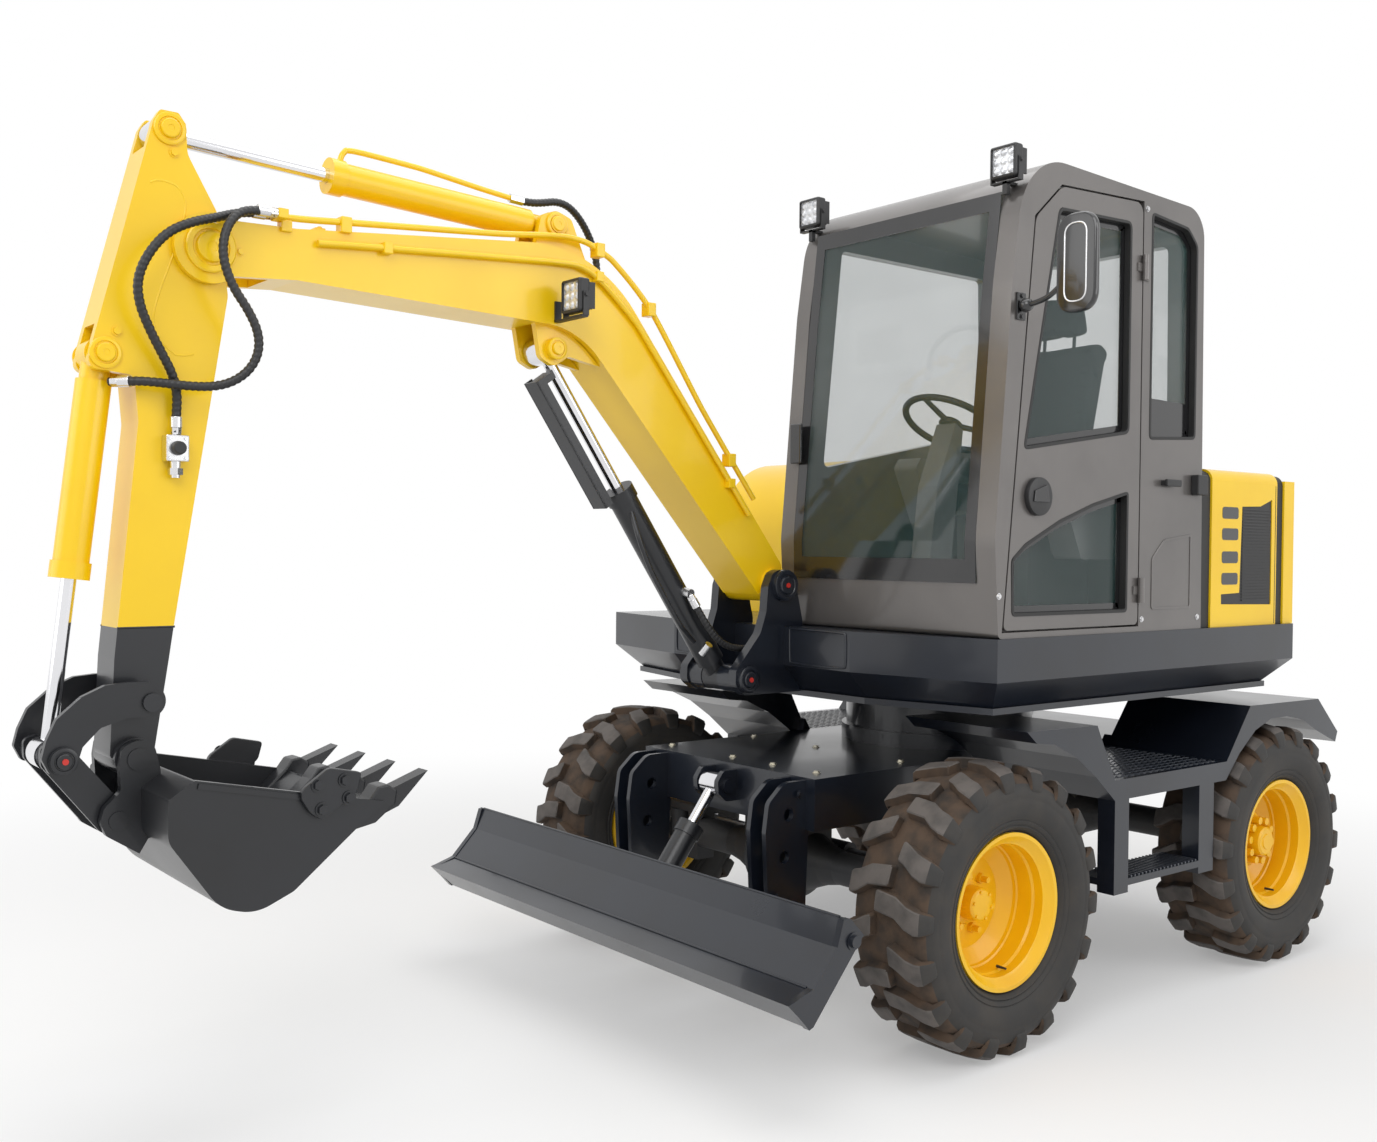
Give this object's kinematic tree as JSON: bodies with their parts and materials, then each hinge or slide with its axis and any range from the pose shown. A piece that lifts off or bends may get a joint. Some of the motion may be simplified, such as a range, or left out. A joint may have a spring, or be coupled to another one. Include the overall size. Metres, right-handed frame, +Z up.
{
  "type": "wheeled excavator",
  "caption": "Compact excavator on wheels with a dozer blade, a swinging upper body with a cab, and a boom, arm and bucket worked by cylinders.",
  "frame": {"origin": "centre of the bounding box, on the ground under the wheels", "axes": "+X forward towards the bucket, +Y to the left, the cab's side, +Z up"},
  "size_m": [4.9632, 2.447, 3.008],
  "materials": {
    "tyre": "matt dusty rubber",
    "rim_yellow": "satin paint",
    "yellow": "gloss paint",
    "frame_black": "satin paint",
    "cab_grey": "metallic paint",
    "tool_black": "satin paint",
    "steel": "worn",
    "chrome": "polished",
    "cast": "painted casting",
    "rubber_seal": "matt",
    "glass": "clear with a green tint",
    "trim_plastic": "grained",
    "seat_cloth": "woven",
    "lamp": "housing with clear lens"
  },
  "bodies": {
    "chassis": {"chassis_frame": "frame_black", "front_axle": "cast", "rear_axle": "cast", "driveline": "cast", "slew_ring": "frame_black", "fenders": "frame_black"},
    "steering_rod": {"steering_rod": "steel"},
    "knuckle_left": {"knuckle_left": "cast"},
    "knuckle_right": {"knuckle_right": "cast"},
    "wheel_front_left": {"rim_front_left": "rim_yellow", "tyre_front_left": "tyre"},
    "wheel_front_right": {"rim_front_right": "rim_yellow", "tyre_front_right": "tyre"},
    "wheel_rear_left": {"rim_rear_left": "rim_yellow", "tyre_rear_left": "tyre"},
    "wheel_rear_right": {"rim_rear_right": "rim_yellow", "tyre_rear_right": "tyre"},
    "blade": {"blade": "frame_black"},
    "blade_cylinder_barrel": {"blade_cylinder_barrel": "tool_black"},
    "blade_cylinder_rod": {"blade_cylinder_rod": "chrome"},
    "upper": {"upper_frame": "frame_black", "hood": "yellow", "hood_seals": "rubber_seal", "grille": "trim_plastic", "side_cover": "yellow", "counterweight": "yellow", "engine": "cast", "cab_shell": "cab_grey", "windshield": "glass", "cab_windows": "glass", "controls": "trim_plastic", "steering_wheel": "trim_plastic", "seat": "seat_cloth", "work_lamps": "lamp", "mirror": "trim_plastic"},
    "door": {"cab_door": "cab_grey", "door_glass": "glass"},
    "boom": {"boom": "yellow", "boom_lamp": "lamp"},
    "boom_cylinder_barrel": {"boom_cylinder_barrel": "tool_black"},
    "boom_cylinder_rod": {"boom_cylinder_rod": "chrome"},
    "arm": {"arm": "yellow"},
    "arm_cylinder_barrel": {"arm_cylinder_barrel": "yellow"},
    "arm_cylinder_rod": {"arm_cylinder_rod": "chrome"},
    "bucket": {"bucket": "tool_black"},
    "bucket_cylinder_barrel": {"bucket_cylinder_barrel": "yellow"},
    "bucket_cylinder_rod": {"bucket_cylinder_rod": "chrome"},
    "side_links": {"side_links": "tool_black"},
    "tipping_link": {"tipping_link": "tool_black"}
  },
  "joints": [
    {"name": "steer_left", "type": "hinge", "parent": "chassis", "child": "knuckle_left", "pos_m": [-0.252, 0.531, 0.4825], "axis": [0, 0, 1], "range_deg": [-27, 27]},
    {"name": "steer_right", "type": "hinge", "parent": "chassis", "child": "knuckle_right", "pos_m": [-0.252, -0.789, 0.4825], "axis": [0, 0, 1], "range_deg": [-27, 27]},
    {"name": "steering_rod_slide", "type": "slide", "parent": "chassis", "child": "steering_rod", "axis": [0, 1, 0], "range_m": [-0.0715, 0.0715]},
    {"name": "wheel_front_left_spin", "type": "hinge", "parent": "knuckle_left", "child": "wheel_front_left", "pos_m": [-0.252, 0.8, 0.4825], "axis": [0, 1, 0], "continuous": true},
    {"name": "wheel_front_right_spin", "type": "hinge", "parent": "knuckle_right", "child": "wheel_front_right", "pos_m": [-0.252, -1.058, 0.4825], "axis": [0, 1, 0], "continuous": true},
    {"name": "wheel_rear_left_spin", "type": "hinge", "parent": "chassis", "child": "wheel_rear_left", "pos_m": [-1.994, 0.8, 0.4825], "axis": [0, 1, 0], "continuous": true},
    {"name": "wheel_rear_right_spin", "type": "hinge", "parent": "chassis", "child": "wheel_rear_right", "pos_m": [-1.994, -1.058, 0.4825], "axis": [0, 1, 0], "continuous": true},
    {"name": "blade_lift", "type": "hinge", "parent": "chassis", "child": "blade", "pos_m": [0.147, -0.129, 0.42], "axis": [0, -1, 0], "range_deg": [-38, 3]},
    {"name": "blade_cylinder_pivot", "type": "hinge", "parent": "blade", "child": "blade_cylinder_barrel", "pos_m": [0.457, -0.129, 0.36], "axis": [0, -1, 0], "range_deg": [-2, 21.5]},
    {"name": "blade_cylinder_slide", "type": "slide", "parent": "blade_cylinder_barrel", "child": "blade_cylinder_rod", "axis": [-0.6084, 0, 0.7936], "range_m": [-0.01, 0.113]},
    {"name": "swing", "type": "hinge", "parent": "chassis", "child": "upper", "pos_m": [-1.123, -0.129, 1.12], "axis": [0, 0, 1], "continuous": true},
    {"name": "door_hinge", "type": "hinge", "parent": "upper", "child": "door", "pos_m": [-0.9845, 0.933, 2.1], "axis": [0, 0, 1], "range_deg": [0, 95]},
    {"name": "boom_lift", "type": "hinge", "parent": "upper", "child": "boom", "pos_m": [-0.067, -0.129, 1.533], "axis": [0, -1, 0], "range_deg": [-57, 32]},
    {"name": "boom_cylinder_pivot", "type": "hinge", "parent": "upper", "child": "boom_cylinder_barrel", "pos_m": [0.106, -0.129, 1.193], "axis": [0, -1, 0], "range_deg": [-53, 30]},
    {"name": "boom_cylinder_slide", "type": "slide", "parent": "boom_cylinder_barrel", "child": "boom_cylinder_rod", "axis": [0.572, 0, 0.8202], "range_m": [-0.352, 0.198]},
    {"name": "arm_swing", "type": "hinge", "parent": "boom", "child": "arm", "pos_m": [2.037, -0.129, 2.484], "axis": [0, 1, 0], "range_deg": [-60, 40]},
    {"name": "arm_cylinder_pivot", "type": "hinge", "parent": "boom", "child": "arm_cylinder_barrel", "pos_m": [0.886, -0.129, 2.729], "axis": [0, 1, 0], "range_deg": [-4, 3]},
    {"name": "arm_cylinder_slide", "type": "slide", "parent": "arm_cylinder_barrel", "child": "arm_cylinder_rod", "axis": [0.9987, 0, 0.0517], "range_m": [-0.311, 0.207]},
    {"name": "bucket_curl", "type": "hinge", "parent": "arm", "child": "bucket", "pos_m": [2.234, -0.129, 1.092], "axis": [0, -1, 0], "range_deg": [-15, 125]},
    {"name": "bucket_cylinder_pivot", "type": "hinge", "parent": "arm", "child": "bucket_cylinder_barrel", "pos_m": [2.307, -0.129, 2.172], "axis": [0, -1, 0], "range_deg": [-0.5, 1]},
    {"name": "bucket_cylinder_slide", "type": "slide", "parent": "bucket_cylinder_barrel", "child": "bucket_cylinder_rod", "axis": [0.1159, 0, -0.9933], "range_m": [-0.337, 0.041]},
    {"name": "side_link_pivot", "type": "hinge", "parent": "arm", "child": "side_links", "pos_m": [2.209, -0.129, 1.245], "axis": [0, -1, 0], "range_deg": [-10, 81]},
    {"name": "tipping_link_pivot", "type": "hinge", "parent": "bucket", "child": "tipping_link", "pos_m": [2.286, -0.129, 0.933], "axis": [0, -1, 0], "range_deg": [-94.5, 11.5]}
  ],
  "couplings": [
    {"joint": "steer_right", "follows": "steer_left", "ratio": 1},
    {"joint": "steering_rod_slide", "follows": "steer_left", "m_per_rad": -0.15},
    {"joint": "blade_cylinder_pivot", "follows": "blade_lift", "ratio": -0.5599},
    {"joint": "blade_cylinder_slide", "follows": "blade_lift", "m_per_rad": -0.1693},
    {"joint": "boom_cylinder_pivot", "follows": "boom_lift", "ratio": 0.9273},
    {"joint": "boom_cylinder_slide", "follows": "boom_lift", "m_per_rad": 0.3528},
    {"joint": "arm_cylinder_pivot", "follows": "arm_swing", "ratio": 0.0646},
    {"joint": "arm_cylinder_slide", "follows": "arm_swing", "m_per_rad": 0.2962},
    {"joint": "bucket_cylinder_pivot", "follows": "bucket_curl", "ratio": 0.0044},
    {"joint": "bucket_cylinder_slide", "follows": "bucket_curl", "m_per_rad": -0.154},
    {"joint": "side_link_pivot", "follows": "bucket_curl", "ratio": 0.6459},
    {"joint": "tipping_link_pivot", "follows": "bucket_curl", "ratio": -0.7526}
  ]
}
